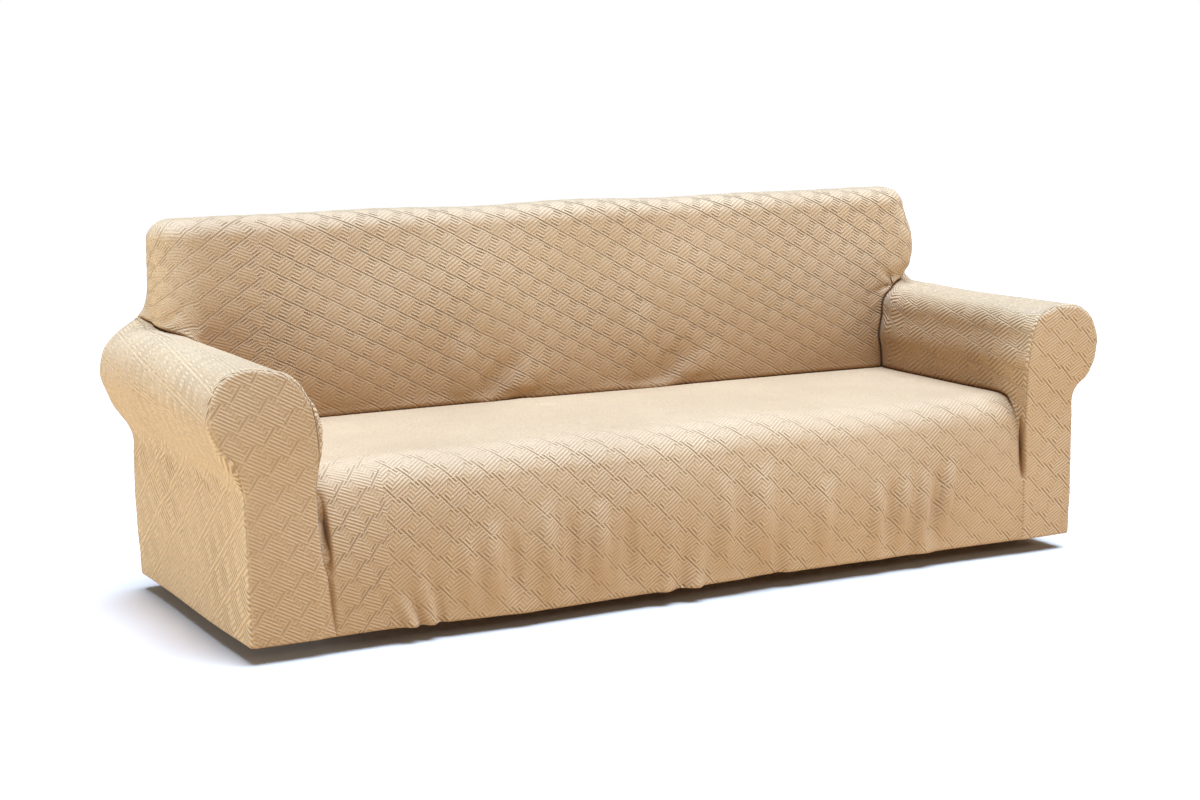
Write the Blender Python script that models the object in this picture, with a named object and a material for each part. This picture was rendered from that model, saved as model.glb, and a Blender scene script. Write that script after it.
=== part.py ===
"""A fitted stretch cover for a three-seat sofa with rolled arms, as it hangs on the sofa.

The cover is hollow and open below.  Seven cut panels are modelled, each a sheet of cloth 2 mm
thick and each its own object: seat and front drop, inside back, outside back, two arms and two
arm fronts.  All of them follow one form, a smooth union of a seat, a back and two arms, and
neighbouring panels share the points of the seam between them.
"""

import math

import bpy
import numpy as np
from mathutils import Vector
from mathutils.geometry import delaunay_2d_cdt

# Driving sizes in metres: X to the sitter's left (the right-hand arm), Y to the rear, Z up.
# In this first frame the floor is z = 0 and the arm fronts stand in the plane y = 0.
TOP_HEIGHT = 0.880
HEM_HEIGHT = 0.039
DEPTH = 0.767
SEAT_HEIGHT = 0.402
SEAT_SET_BACK = 0.004
BACK_HALF_LENGTH = 1.074
HEM_SAG = 0.006          # the front hem hangs lower a little left of its middle
HEM_SAG_PLACE = -0.35
HEM_SAG_HALF = 0.50
TOP_TILT = 0.0025        # rise of the back's top for each metre towards the right
SHEET = 0.002
SEAM_GAP = 0.0004

BASE_BELOW_FLOOR = -0.30
SEAT_HALF_LENGTH = 0.965
SEAT_END_ROUND = 0.020
SEAT_ROUND = 0.060
BACK_ROUND = 0.050
BACK_END_ROUND = 0.060
HEAD_ROUND = {"left": 0.085, "right": 0.060}
BODY_ROUND = 0.030
NECK_FILLET = {"left": 0.066, "right": 0.050}
ARM_FRONT_EDGE = 0.010
ARM_REAR_EDGE = 0.028
CREASE_FILLET = 0.014
END_FILLET = 0.095       # where the ends of the back run out into the arms
END_FILLET_ZONE = ((0.97, 1.05), (0.67, 0.73), (0.56, 0.61))    # x, y, z: where it grows to its full size

# The cores of the rounded blocks: each outline is grown by its radius above.
SEAT_CORE = [  # y, z
    (SEAT_SET_BACK + SEAT_ROUND, BASE_BELOW_FLOOR),
    (SEAT_SET_BACK + SEAT_ROUND, 0.240),
    (0.096, SEAT_HEIGHT - SEAT_ROUND),
    (0.700, SEAT_HEIGHT - SEAT_ROUND),
    (0.700, BASE_BELOW_FLOOR),
]
BACK_CORE = [  # y, z
    (0.640, BASE_BELOW_FLOOR),
    (0.650, SEAT_HEIGHT),
    (0.703, TOP_HEIGHT - BACK_ROUND),
    (DEPTH + 0.008 - BACK_ROUND, TOP_HEIGHT - BACK_ROUND),
    (DEPTH - BACK_ROUND, BASE_BELOW_FLOOR),
]
HEAD_CORE = {  # the roll of each arm: distance from the middle plane, z
    "left": [(1.036, 0.508), (1.050, 0.534), (1.095, 0.543), (1.097, 0.530), (1.082, 0.492), (1.030, 0.478)],
    "right": [(1.013, 0.525), (1.016, 0.556), (1.041, 0.565), (1.067, 0.569), (1.090, 0.566), (1.105, 0.554),
              (1.115, 0.530), (1.111, 0.500), (1.104, 0.486), (1.050, 0.470)],
}
BODY_CORE = {
    "left": [(0.975, BASE_BELOW_FLOOR), (0.976, 0.480), (1.074, 0.440), (1.081, 0.340), (1.073, 0.039),
             (1.073, BASE_BELOW_FLOOR)],
    "right": [(0.975, BASE_BELOW_FLOOR), (0.977, 0.480), (1.066, 0.440), (1.078, 0.350), (1.074, 0.039),
              (1.074, BASE_BELOW_FLOOR)],
}

# Soft fullness of the stuffing under the cloth: middle, half size, rise.
CROWNS = [
    # x, y, z          half x, y, z         rise
    ((0.00, 0.32, 0.42), (1.00, 0.33, 0.14), 0.015),
    ((0.00, 0.00, 0.27), (1.00, 0.10, 0.25), 0.008),
    ((-0.42, 0.63, 0.63), (0.68, 0.12, 0.30), 0.014),
    ((0.62, 0.63, 0.63), (0.52, 0.12, 0.30), 0.014),
    ((1.08, 0.70, 0.740), (0.09, 0.16, 0.095), 0.021),
    ((1.05, 0.66, 0.645), (0.08, 0.08, 0.045), -0.013),
    ((-1.065, 0.0, 0.51), (0.15, 0.05, 0.16), 0.007),
    ((1.065, 0.0, 0.51), (0.15, 0.05, 0.16), 0.007),
]
# Folds of the front drop: x at the hem, half width, height reached above the hem, lean, rise.
HEM_FOLDS = [
    (-0.735, 0.045, 0.16, 0.05, 0.007),
    (-0.465, 0.050, 0.12, 0.03, 0.004),
    (-0.030, 0.045, 0.13, 0.04, 0.005),
    (0.176, 0.075, 0.15, 0.02, -0.007),
    (0.500, 0.045, 0.12, -0.03, 0.004),
    (0.645, 0.040, 0.17, -0.04, 0.008),
]
# Creases that rise from the seat into the inside back: x at the seat, half width, reach, lean, rise.
BACK_CREASES = [
    (-0.262, 0.035, 0.16, 0.20, -0.005),
    (-0.176, 0.040, 0.20, 0.25, 0.005),
    (0.300, 0.050, 0.20, 0.30, 0.004),
    (0.226, 0.110, 0.55, 0.00, -0.006),
]

# Seam lines.  Distances from the middle plane are positive on both sides.
OUTER_LINE = {  # from the hem up the outer side and over the roll: x, z
    "left": [(1.100, HEM_HEIGHT), (1.106, 0.22), (1.112, 0.34), (1.124, 0.42), (1.155, 0.465), (1.178, 0.505),
             (1.184, 0.545), (1.170, 0.59), (1.135, 0.618), (1.085, 0.628)],
    "right": [(1.100, HEM_HEIGHT), (1.100, 0.20), (1.101, 0.34), (1.108, 0.40), (1.140, 0.425), (1.166, 0.47),
              (1.176, 0.53), (1.160, 0.585), (1.125, 0.617), (1.085, 0.628)],
}
SHOULDER_FRONT = {  # over the top of the arm to its inner shoulder: x, y, z
    "left": [(1.085, 0.0, 0.628), (1.050, 0.0, 0.622), (1.020, 0.0, 0.610), (0.985, 0.0, 0.580)],
    "right": [(1.085, 0.0, 0.628), (1.050, 0.0, 0.628), (1.020, 0.0, 0.627), (0.993, 0.0, 0.617)],
}
SHOULDER_REAR = {  # from the rear edge, round the end of the back, to the same shoulder
    "left": [(1.085, DEPTH, 0.640), (1.080, 0.725, 0.640), (1.058, 0.680, 0.634), (1.020, 0.650, 0.612),
             (0.985, 0.634, 0.580)],
    "right": [(1.085, DEPTH, 0.640), (1.080, 0.725, 0.640), (1.058, 0.680, 0.634), (1.025, 0.652, 0.628),
              (0.993, 0.640, 0.617)],
}
INNER_FRONT = {  # down the inner side of the arm to the seat
    "left": [(0.985, 0.0, 0.580), (0.965, 0.0, 0.550), (0.952, 0.0, 0.510), (0.944, 0.0, 0.440),
             (0.943, 0.0, 0.350), (0.944, 0.006, 0.285)],
    "right": [(0.993, 0.0, 0.617), (0.966, 0.0, 0.564), (0.953, 0.0, 0.500), (0.945, 0.0, 0.420),
              (0.944, 0.0, 0.350), (0.944, 0.006, 0.285)],
}
INNER_REAR = {
    "left": [(0.985, 0.634, 0.580), (0.965, 0.628, 0.550), (0.950, 0.618, 0.500), (0.946, 0.600, 0.402)],
    "right": [(0.993, 0.640, 0.617), (0.966, 0.630, 0.564), (0.953, 0.618, 0.500), (0.946, 0.600, 0.402)],
}
GROOVE = {  # between the front drop and the arm front, from the hem up
    "left": [(0.912, 0.0, HEM_HEIGHT), (0.924, 0.0, 0.139), (0.936, 0.0, 0.230), (0.944, 0.006, 0.285)],
    "right": [(0.947, 0.0, HEM_HEIGHT), (0.947, 0.0, 0.139), (0.946, 0.0, 0.230), (0.944, 0.006, 0.285)],
}
SEAT_SIDE = [(0.944, 0.006, 0.285), (0.945, 0.030, 0.340), (0.945, 0.055, 0.378), (0.946, 0.10, 0.402),
             (0.946, 0.30, 0.402), (0.946, 0.60, 0.402)]
END_REAR = [(1.085, DEPTH, 0.640), (BACK_HALF_LENGTH, DEPTH, 0.680), (BACK_HALF_LENGTH, DEPTH, 0.810)]
CORNER_REAR = [(BACK_HALF_LENGTH, DEPTH, 0.810), (1.058, DEPTH, 0.850), (1.010, DEPTH, 0.875)]
OVER_THE_TOP = [  # from the shoulder over the back: distance out from the shoulder, y, z
    (0.0000, 0.648, 0.70),
    (0.0034, 0.664, 0.82),
    (0.0068, 0.680, 0.862),
    (0.0102, 0.712, 0.880),
    (0.0136, 0.745, 0.876),
]

# Both panels at a seam split their rims the same way, from the end that is lower along this.
SEAM_ORDER = (0.37, 0.11, 1.00)

# Mesh steps along the seams.
STEPS = {"outer": 18, "shoulder": 5, "inner": 6, "arm_depth": 15, "groove": 7, "across": 42, "over": 10,
         "front_hem": 4, "rear_hem": 26}
FLAT_SPACING = {"outside_back": 0.085, "arm_front": 0.040}
RIM_CLEARANCE = 0.45     # least distance of a flat panel's inner points from its rim, as a share of the spacing

CLOTH_COLOUR = (0.72, 0.52, 0.31, 1.0)
CLOTH_ROUGHNESS = 0.9

# The part's own origin lies under the cloth at the top of the back, where the sofa carries it.
MOUNT = Vector((0.0, 0.712, TOP_HEIGHT - SHEET))


def smooth_union(first, second, reach):
    overlap = np.clip(1.0 - np.abs(first - second) / reach, 0.0, 1.0)
    return np.minimum(first, second) - reach * overlap ** 2 / 4.0


def outline_distance(across, up, corners):
    """Signed distance to a closed outline, negative inside."""
    nearest = np.full(across.shape, np.inf)
    inside = np.zeros(across.shape, dtype=bool)
    for (x0, z0), (x1, z1) in zip(corners, corners[1:] + corners[:1]):
        run, climb = x1 - x0, z1 - z0
        along = ((across - x0) * run + (up - z0) * climb) / (run * run + climb * climb)
        along = np.clip(along, 0.0, 1.0)
        nearest = np.minimum(nearest, np.hypot(across - x0 - along * run, up - z0 - along * climb))
        if climb:
            crossing = x0 + (up - z0) * run / climb
            inside ^= ((up < z0) != (up < z1)) & (across < crossing)
    return np.where(inside, -nearest, nearest)


def extruded(section, beyond_end, edge):
    """A section carried along an axis, with its end edges rounded."""
    a, b = section + edge, beyond_end + edge
    return np.minimum(np.maximum(a, b), 0.0) + np.hypot(np.maximum(a, 0.0), np.maximum(b, 0.0)) - edge


def arm_distance(x, y, z, side):
    head = outline_distance(x, z, HEAD_CORE[side]) - HEAD_ROUND[side]
    body = outline_distance(x, z, BODY_CORE[side]) - BODY_ROUND
    edge = np.where(y < DEPTH / 2, ARM_FRONT_EDGE, ARM_REAR_EDGE)
    return extruded(smooth_union(head, body, NECK_FILLET[side]), np.abs(y - DEPTH / 2) - DEPTH / 2, edge)


def ramp(value, start, end):
    t = np.clip((value - start) / (end - start), 0.0, 1.0)
    return t * t * (3.0 - 2.0 * t)


def bump(offset, half):
    return np.clip(1.0 - (offset / half) ** 2, 0.0, 1.0) ** 2


def fullness(x, y, z):
    rise = np.zeros(x.shape)
    for middle, half, height in CROWNS:
        rise += height * np.prod([bump(c - m, h) for c, m, h in zip((x, y, z), middle, half)], axis=0)
    on_front = (y < 0.08) & (z < SEAT_HEIGHT)
    for place, half, reach, lean, height in HEM_FOLDS:
        above = z - HEM_HEIGHT
        fade = np.clip(1.0 - np.clip(above, 0.0, None) / reach, 0.0, 1.0) ** 2
        rise += on_front * height * fade * bump(x - place - lean * above, half)
    on_back = (y > 0.45) & (y < 0.70) & (z > SEAT_HEIGHT)
    for place, half, reach, lean, height in BACK_CREASES:
        above = z - SEAT_HEIGHT
        fade = np.clip(1.0 - np.clip(above, 0.0, None) / reach, 0.0, 1.0) ** 2
        fade *= np.clip(above / 0.02, 0.0, 1.0)
        rise += on_back * height * fade * bump(x - place - lean * above, half)
    return rise


def form(points):
    """Distance from the outer face of the whole cover, negative inside."""
    x, y, z = points.T
    out = np.abs(x)
    seat = outline_distance(y, z, SEAT_CORE) - SEAT_ROUND
    seat = extruded(seat, out - SEAT_HALF_LENGTH, SEAT_END_ROUND)
    back = outline_distance(y, z - TOP_TILT * x, BACK_CORE) - BACK_ROUND
    back = extruded(back, out - BACK_HALF_LENGTH, BACK_END_ROUND)
    arms = np.where(x < 0, arm_distance(out, y, z, "left"), arm_distance(out, y, z, "right"))
    to_end = np.prod([ramp(c, *limits) for c, limits in zip((out, y, z), END_FILLET_ZONE)], axis=0)
    fillet = CREASE_FILLET + (END_FILLET - CREASE_FILLET) * to_end
    whole = smooth_union(smooth_union(seat, back, CREASE_FILLET), arms, fillet)
    return whole - fullness(x, y, z)


def form_normal(points, step=0.0002):
    slope = np.zeros(points.shape)
    for axis in range(3):
        offset = np.zeros(3)
        offset[axis] = step
        slope[:, axis] = form(points + offset) - form(points - offset)
    return slope / np.linalg.norm(slope, axis=1, keepdims=True)


def onto_form(points, rounds=8, longest=0.03):
    points = np.array(points, dtype=float).reshape(-1, 3)
    for _ in range(rounds):
        points = points - np.clip(form(points), -longest, longest)[:, None] * form_normal(points)
    return points


def spread(points, fractions):
    """Points at the given fractions of a line's length."""
    lengths = np.concatenate([[0.0], np.cumsum(np.linalg.norm(np.diff(points, axis=0), axis=1))])
    return np.column_stack([np.interp(fractions * lengths[-1], lengths, points[:, k]) for k in range(3)])


def even(steps):
    return np.linspace(0.0, 1.0, steps + 1)


def closer_on_roll(steps):
    """A third of the steps on the plain outer side, the rest round the roll."""
    return np.interp(even(steps), (0.0, 1.0 / 3.0, 1.0), (0.0, 0.5, 1.0))


def closer_at_ends(steps, pull=0.55):
    t = even(steps)
    return t - pull * np.sin(2.0 * math.pi * t) / (2.0 * math.pi)


def smooth_line(waypoints, fractions):
    """A Catmull-Rom curve through the waypoints, laid onto the form."""
    knots = np.array(waypoints, dtype=float)
    knots = np.vstack([2 * knots[0] - knots[1], knots, 2 * knots[-1] - knots[-2]])
    curve = []
    for a, b, c, d in zip(knots, knots[1:], knots[2:], knots[3:]):
        for t in np.linspace(0.0, 1.0, 12, endpoint=False):
            curve.append(0.5 * (2 * b + (c - a) * t + (2 * a - 5 * b + 4 * c - d) * t ** 2
                                + (3 * b - a - 3 * c + d) * t ** 3))
    curve.append(knots[-2])
    return onto_form(spread(onto_form(curve), fractions))


def on_side(waypoints, side):
    sign = -1.0 if side == "left" else 1.0
    return [(sign * x, y, z) for x, y, z in waypoints]


def seams_of(side):
    """The seam lines of one side of the cover, by name."""
    outer_front = [(x, 0.0, z) for x, z in OUTER_LINE[side]]
    outer_rear = [(x, DEPTH, z) for x, z in OUTER_LINE[side][:-1]] + [SHOULDER_REAR[side][0]]
    hem = [(OUTER_LINE[side][0][0], y, HEM_HEIGHT) for y in (0.0, DEPTH / 2, DEPTH)]
    shoulder = INNER_REAR[side][0]
    over = [shoulder] + [(shoulder[0] + out, y, z) for out, y, z in OVER_THE_TOP] + [CORNER_REAR[-1]]
    lines = {
        "outer_front": (outer_front, closer_on_roll(STEPS["outer"])),
        "outer_rear": (outer_rear, closer_on_roll(STEPS["outer"])),
        "shoulder_front": (SHOULDER_FRONT[side], even(STEPS["shoulder"])),
        "shoulder_rear": (SHOULDER_REAR[side], even(STEPS["shoulder"])),
        "inner_front": (INNER_FRONT[side], even(STEPS["inner"])),
        "inner_rear": (INNER_REAR[side], even(STEPS["inner"])),
        "side_hem": (hem, closer_at_ends(STEPS["arm_depth"])),
        "seat_side": (SEAT_SIDE, closer_at_ends(STEPS["arm_depth"])),
        "groove": (GROOVE[side], even(STEPS["groove"])),
        "over": (over, even(STEPS["over"])),
        "end_rear": (END_REAR, even(STEPS["over"])),
        "corner_rear": (CORNER_REAR, even(STEPS["shoulder"])),
    }
    return {name: smooth_line(on_side(line, side), steps) for name, (line, steps) in lines.items()}


def across(left_point, right_point, steps, pull=0.0):
    fractions = closer_at_ends(steps, pull)[:, None]
    return onto_form(left_point * (1.0 - fractions) + right_point * fractions)


def joined(*lines):
    """Lines end to end, each shared end kept once."""
    return np.vstack([lines[0]] + [line[1:] for line in lines[1:]])


def patch(low, high, left, right, rounds=12):
    """A grid between four seam lines, evened out over the form. Rows run from low to high."""
    rows, columns = len(left), len(low)
    t = even(rows - 1)[:, None, None]
    s = even(columns - 1)[None, :, None]
    grid = (1 - t) * low[None] + t * high[None] + (1 - s) * left[:, None] + s * right[:, None]
    grid -= (1 - t) * (1 - s) * low[0] + (1 - t) * s * low[-1] + t * (1 - s) * high[0] + t * s * high[-1]
    for _ in range(rounds):
        inner = 0.25 * (grid[:-2, 1:-1] + grid[2:, 1:-1] + grid[1:-1, :-2] + grid[1:-1, 2:])
        inner = 0.5 * (inner + grid[1:-1, 1:-1])
        grid[1:-1, 1:-1] = onto_form(inner, rounds=2).reshape(inner.shape)
    inner = grid[1:-1, 1:-1]
    grid[1:-1, 1:-1] = onto_form(inner).reshape(inner.shape)
    faces = []
    for row in range(rows - 1):
        for column in range(columns - 1):
            corner = row * columns + column
            faces.append((corner, corner + 1, corner + columns + 1, corner + columns))
    return grid.reshape(-1, 3), faces


def flat_fill(loop, spacing):
    """A nearly flat upright panel: its seam loop, filled with triangles on even inner points."""
    low, high = loop[:, [0, 2]].min(axis=0), loop[:, [0, 2]].max(axis=0)
    corners = [tuple(point) for point in loop[:, [0, 2]]]
    inner = []
    for x in np.arange(low[0] + spacing / 2, high[0], spacing):
        for z in np.arange(low[1] + spacing / 2, high[1], spacing):
            if outline_distance(np.array([x]), np.array([z]), corners)[0] < -RIM_CLEARANCE * spacing:
                inner.append((x, z))
    edges = [(k, (k + 1) % len(loop)) for k in range(len(loop))]
    flat, _, faces, _, _, _ = delaunay_2d_cdt([Vector(c) for c in corners + inner], edges, [], 1, 1e-6)
    points = np.array([(v[0], np.mean(loop[:, 1]), v[1]) for v in flat])
    points[:len(loop)] = loop
    points[len(loop):] = onto_form(points[len(loop):])
    return points, [tuple(face) for face in faces]


def welded(*pieces):
    """Grids that share a line, as one mesh with each shared point kept once."""
    points, faces, known = [], [], {}
    for piece_points, piece_faces in pieces:
        piece_faces = facing_out(piece_points, piece_faces)
        renumbered = []
        for point in piece_points:
            key = tuple(np.round(point, 5))
            if key not in known:
                known[key] = len(points)
                points.append(point)
            renumbered.append(known[key])
        faces += [tuple(renumbered[index] for index in face) for face in piece_faces]
    return np.array(points), faces


def facing_out(points, faces):
    """The faces of one piece, all turned over if they face into the cover."""
    corners = np.array([face[:3] for face in faces])
    a, b, c = (points[corners[:, k]] for k in range(3))
    outward = np.sum(np.cross(b - a, c - a) * form_normal(a))
    return faces if outward > 0 else [face[:1] + face[:0:-1] for face in faces]


def triangles_of(faces):
    triangles = []
    for face in faces:
        triangles.append((face[0], face[1], face[2]))
        if len(face) == 4:
            triangles.append((face[0], face[2], face[3]))
    return triangles


def rim_edges(triangles):
    """The directed edges that belong to one triangle only."""
    directed = {(t[k], t[(k + 1) % 3]) for t in triangles for k in range(3)}
    return [edge for edge in directed if edge[::-1] not in directed]


def parted(points, normals, rim):
    """The rim drawn back along the cloth by half of the seam gap."""
    inward = {}
    for a, b in rim:
        direction = np.cross(normals[a] + normals[b], points[b] - points[a])
        direction /= np.linalg.norm(direction)
        for vertex in (a, b):
            inward.setdefault(vertex, []).append(direction)
    moved = points.copy()
    for vertex, directions in inward.items():
        middle = np.sum(directions, axis=0)
        middle /= np.linalg.norm(middle)
        spread_angle = max(0.5, float(np.dot(middle, directions[0])))
        moved[vertex] += middle * SEAM_GAP / 2 / spread_angle
    return moved


def sheet(name, points, faces):
    """One panel of cloth: its outer face on the form and its inner face a thickness below."""
    triangles = triangles_of(facing_out(points, faces))
    rim = rim_edges(triangles)
    normals = form_normal(points)
    outer = parted(points, normals, rim)
    inner = outer - SHEET * normals
    count = len(points)
    solid = list(triangles)
    solid += [(c + count, b + count, a + count) for a, b, c in triangles]
    for a, b in sorted(rim):
        if np.dot(points[a] - points[b], SEAM_ORDER) < 0:
            solid += [(b, a, a + count), (b, a + count, b + count)]
        else:
            solid += [(b, a, b + count), (a, a + count, b + count)]
    mesh = bpy.data.meshes.new(name)
    mesh.from_pydata([Vector(p) - MOUNT for p in np.vstack([outer, inner])], [], solid)
    mesh.shade_smooth()
    mesh.materials.append(cloth_material(name))
    panel = bpy.data.objects.new(name, mesh)
    bpy.context.scene.collection.objects.link(panel)
    return panel


def cloth_material(name):
    material = bpy.data.materials.new(name + "_cloth")
    material.use_nodes = True
    shader = material.node_tree.nodes["Principled BSDF"]
    shader.inputs["Base Color"].default_value = CLOTH_COLOUR
    shader.inputs["Roughness"].default_value = CLOTH_ROUGHNESS
    shader.inputs["Metallic"].default_value = 0.0
    material.diffuse_color = CLOTH_COLOUR
    return material


def make_seat_front(left, right):
    left_side = joined(left["groove"], left["seat_side"])
    right_side = joined(right["groove"], right["seat_side"])
    hem = across(left_side[0], right_side[0], STEPS["across"])
    hem[:, 2] -= HEM_SAG * bump(hem[:, 0] - HEM_SAG_PLACE, HEM_SAG_HALF)
    crease = across(left_side[-1], right_side[-1], STEPS["across"])
    sheet("seat_front", *patch(hem, crease, left_side, right_side))


def make_inside_back(left, right):
    crease = across(left["seat_side"][-1], right["seat_side"][-1], STEPS["across"])
    waist = across(left["over"][0], right["over"][0], STEPS["across"])
    top = across(left["over"][-1], right["over"][-1], STEPS["across"])
    lower = patch(crease, waist, left["inner_rear"][::-1], right["inner_rear"][::-1])
    upper = patch(waist, top, left["over"], right["over"])
    ends = [patch(seams["shoulder_rear"][::-1], seams["corner_rear"][::-1], seams["over"], seams["end_rear"])
            for seams in (left, right)]
    sheet("inside_back", *welded(lower, upper, *ends))


def make_arm(side, seams):
    front = joined(seams["outer_front"], seams["shoulder_front"], seams["inner_front"])
    rear = joined(seams["outer_rear"], seams["shoulder_rear"], seams["inner_rear"])
    sheet("arm_" + side, *patch(front, rear, seams["side_hem"], seams["seat_side"]))


def make_arm_front(side, seams):
    low = across(seams["groove"][0], seams["outer_front"][0], STEPS["front_hem"])
    loop = joined(low, seams["outer_front"], seams["shoulder_front"], seams["inner_front"],
                  seams["groove"][::-1])[:-1]
    sheet("arm_front_" + side, *flat_fill(loop, FLAT_SPACING["arm_front"]))


def make_outside_back(left, right):
    hem = across(left["outer_rear"][0], right["outer_rear"][0], STEPS["rear_hem"])
    top = across(right["over"][-1], left["over"][-1], STEPS["across"])
    up = joined(right["outer_rear"], right["end_rear"], right["corner_rear"])
    down = joined(left["outer_rear"], left["end_rear"], left["corner_rear"])[::-1]
    loop = joined(hem, up, top, down)[:-1]
    sheet("outside_back", *flat_fill(loop, FLAT_SPACING["outside_back"]))


def make_cover():
    for old in list(bpy.data.objects):
        bpy.data.objects.remove(old)
    seams = {side: seams_of(side) for side in ("left", "right")}
    make_seat_front(seams["left"], seams["right"])
    make_inside_back(seams["left"], seams["right"])
    make_outside_back(seams["left"], seams["right"])
    for side in seams:
        make_arm(side, seams[side])
        make_arm_front(side, seams[side])


make_cover()
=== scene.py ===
"""Looks of the fitted sofa cover: seven thin sheets of relief jacquard on the folds of the CAD.

Every panel repeats the form and the seam lines of the part's source, far denser, and adds the
small folds, the raised blocks of the weave and the seams.  The material draws the fine ribs, which
the arm fronts have in their mesh as well.
"""
import math
from collections import namedtuple
from functools import partial

import bmesh
import bpy
import numpy as np
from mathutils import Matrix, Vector
from mathutils.geometry import delaunay_2d_cdt


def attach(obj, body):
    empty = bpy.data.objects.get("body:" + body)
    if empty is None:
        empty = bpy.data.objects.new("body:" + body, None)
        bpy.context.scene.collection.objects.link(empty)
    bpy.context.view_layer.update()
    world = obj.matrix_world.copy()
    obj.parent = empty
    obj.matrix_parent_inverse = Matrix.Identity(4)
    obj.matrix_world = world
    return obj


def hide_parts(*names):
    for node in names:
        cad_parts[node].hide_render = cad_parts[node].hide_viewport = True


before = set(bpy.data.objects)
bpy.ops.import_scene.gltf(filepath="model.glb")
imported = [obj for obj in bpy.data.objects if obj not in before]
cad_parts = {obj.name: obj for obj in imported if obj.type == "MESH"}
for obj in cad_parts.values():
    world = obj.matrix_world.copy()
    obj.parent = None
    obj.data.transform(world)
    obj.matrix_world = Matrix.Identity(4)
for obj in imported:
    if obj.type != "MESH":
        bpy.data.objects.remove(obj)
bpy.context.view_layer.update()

# ---------------------------------------------------------------- the form, as in the part's source
# Driving sizes in metres: X to the sitter's left (the right-hand arm), Y to the rear, Z up.
# In this first frame the floor is z = 0 and the arm fronts stand in the plane y = 0.
TOP_HEIGHT = 0.880
HEM_HEIGHT = 0.039
DEPTH = 0.767
SEAT_HEIGHT = 0.402
SEAT_SET_BACK = 0.004
BACK_HALF_LENGTH = 1.074
HEM_SAG = 0.006          # the front hem hangs lower a little left of its middle
HEM_SAG_PLACE = -0.35
HEM_SAG_HALF = 0.50
TOP_TILT = 0.0025        # rise of the back's top for each metre towards the right
SHEET = 0.002

BASE_BELOW_FLOOR = -0.30
SEAT_HALF_LENGTH = 0.965
SEAT_END_ROUND = 0.020
SEAT_ROUND = 0.060
BACK_ROUND = 0.050
BACK_END_ROUND = 0.060
HEAD_ROUND = {"left": 0.085, "right": 0.060}
BODY_ROUND = 0.030
NECK_FILLET = {"left": 0.066, "right": 0.050}
ARM_FRONT_EDGE = 0.010
ARM_REAR_EDGE = 0.028
CREASE_FILLET = 0.014
END_FILLET = 0.095       # where the ends of the back run out into the arms
END_FILLET_ZONE = ((0.97, 1.05), (0.67, 0.73), (0.56, 0.61))    # x, y, z: where it grows to its full size
ARMS_BEYOND = 0.80       # x: an arm shapes the cloth from here out

FRONT_LEAN = 0.60        # the drop leans back by this times the square of the height over FRONT_LEAN_FROM
FRONT_LEAN_FROM = 0.13
FRONT_LEAN_FADE = (0.40, 0.20)      # y: from here forward
SEAT_CORE = [  # y, z
    (SEAT_SET_BACK + SEAT_ROUND, BASE_BELOW_FLOOR),
    (SEAT_SET_BACK + SEAT_ROUND, SEAT_HEIGHT - SEAT_ROUND),
    (0.700, SEAT_HEIGHT - SEAT_ROUND),
    (0.700, BASE_BELOW_FLOOR),
]
BACK_CORE = [  # y, z
    (0.640, BASE_BELOW_FLOOR),
    (0.650, SEAT_HEIGHT),
    (0.703, TOP_HEIGHT - BACK_ROUND),
    (DEPTH + 0.008 - BACK_ROUND, TOP_HEIGHT - BACK_ROUND),
    (DEPTH - BACK_ROUND, BASE_BELOW_FLOOR),
]
HEAD_CORE = {  # the roll of each arm: distance from the middle plane, z
    "left": [(1.036, 0.508), (1.050, 0.534), (1.095, 0.543), (1.097, 0.530), (1.082, 0.492), (1.030, 0.478)],
    "right": [(1.013, 0.525), (1.016, 0.556), (1.041, 0.565), (1.067, 0.569), (1.090, 0.566), (1.105, 0.554),
              (1.115, 0.530), (1.111, 0.500), (1.104, 0.486), (1.050, 0.470)],
}
BODY_CORE = {
    "left": [(0.975, BASE_BELOW_FLOOR), (0.976, 0.480), (1.074, 0.440), (1.081, 0.340), (1.073, 0.039),
             (1.073, BASE_BELOW_FLOOR)],
    "right": [(0.975, BASE_BELOW_FLOOR), (0.977, 0.480), (1.066, 0.440), (1.078, 0.350), (1.074, 0.039),
              (1.074, BASE_BELOW_FLOOR)],
}

# Soft fullness of the stuffing under the cloth: middle, half size, rise.
CROWNS = [
    # x, y, z          half x, y, z         rise
    ((0.00, 0.32, 0.42), (1.00, 0.33, 0.14), 0.015),
    ((0.00, 0.00, 0.27), (1.00, 0.10, 0.25), 0.008),
    ((-0.42, 0.63, 0.63), (0.68, 0.12, 0.30), 0.014),
    ((0.62, 0.63, 0.63), (0.52, 0.12, 0.30), 0.014),
    ((1.08, 0.70, 0.735), (0.09, 0.16, 0.110), 0.021),
    ((1.05, 0.66, 0.640), (0.08, 0.08, 0.040), -0.012),
    ((-1.065, 0.0, 0.51), (0.15, 0.05, 0.16), 0.007),
    ((1.065, 0.0, 0.51), (0.15, 0.05, 0.16), 0.007),
]
FRONT_TO = 0.08              # y: how far back the folds over the hem reach
BACK_WITHIN = (0.45, 0.70)   # y: where the back's creases lie
CREASE_START = 0.02          # they take this height above the seat to rise
HEM_FOLDS = [  # x at the hem, half width, height reached above the hem, lean, rise
    (-0.735, 0.045, 0.16, 0.05, 0.007),
    (-0.465, 0.050, 0.12, 0.03, 0.004),
    (-0.030, 0.045, 0.13, 0.04, 0.005),
    (0.176, 0.075, 0.15, 0.02, -0.007),
    (0.500, 0.045, 0.12, -0.03, 0.004),
    (0.645, 0.040, 0.17, -0.04, 0.008),
]
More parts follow.
